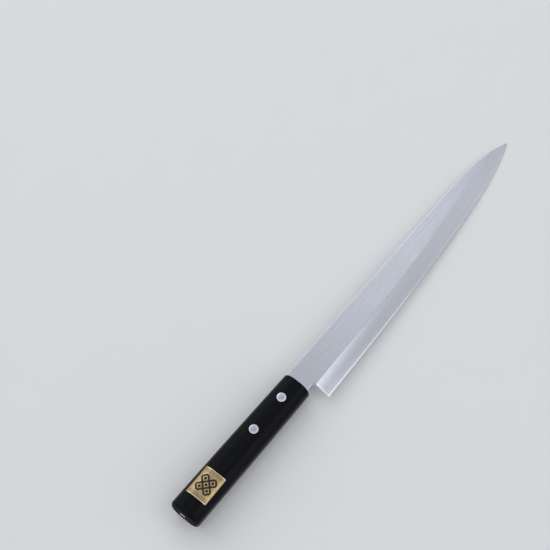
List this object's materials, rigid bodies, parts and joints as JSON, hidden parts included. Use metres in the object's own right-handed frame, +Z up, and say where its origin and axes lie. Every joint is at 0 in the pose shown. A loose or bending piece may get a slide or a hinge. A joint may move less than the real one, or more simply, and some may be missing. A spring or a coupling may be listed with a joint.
{
  "type": "yanagiba knife",
  "caption": "Right-handed single-bevel slicing knife with a hollow-ground back, a hidden tapered tang and a riveted black handle with a foil label.",
  "frame": {"origin": "below the middle of the knife's box, on the plane that the flat back of the handle lies on", "axes": "+X along the blade to the tip, +Y from the edge to the spine, +Z up out of the bevelled face"},
  "size_m": [0.3644, 0.0326, 0.0188],
  "materials": {
    "blade_steel": "fine satin grind along the blade, brighter on the bevel",
    "black_laminate": "satin black resin-laminated wood",
    "rivet_metal": "ground flush and polished",
    "gold_foil": "gold foil with a printed lattice"
  },
  "bodies": {
    "root": {"blade": "blade_steel", "omote_scale": "black_laminate", "ura_scale": "black_laminate", "front_rivet_post": "rivet_metal", "front_rivet_socket": "rivet_metal", "rear_rivet_post": "rivet_metal", "rear_rivet_socket": "rivet_metal", "foil_label": "gold_foil"}
  },
  "joints": []
}
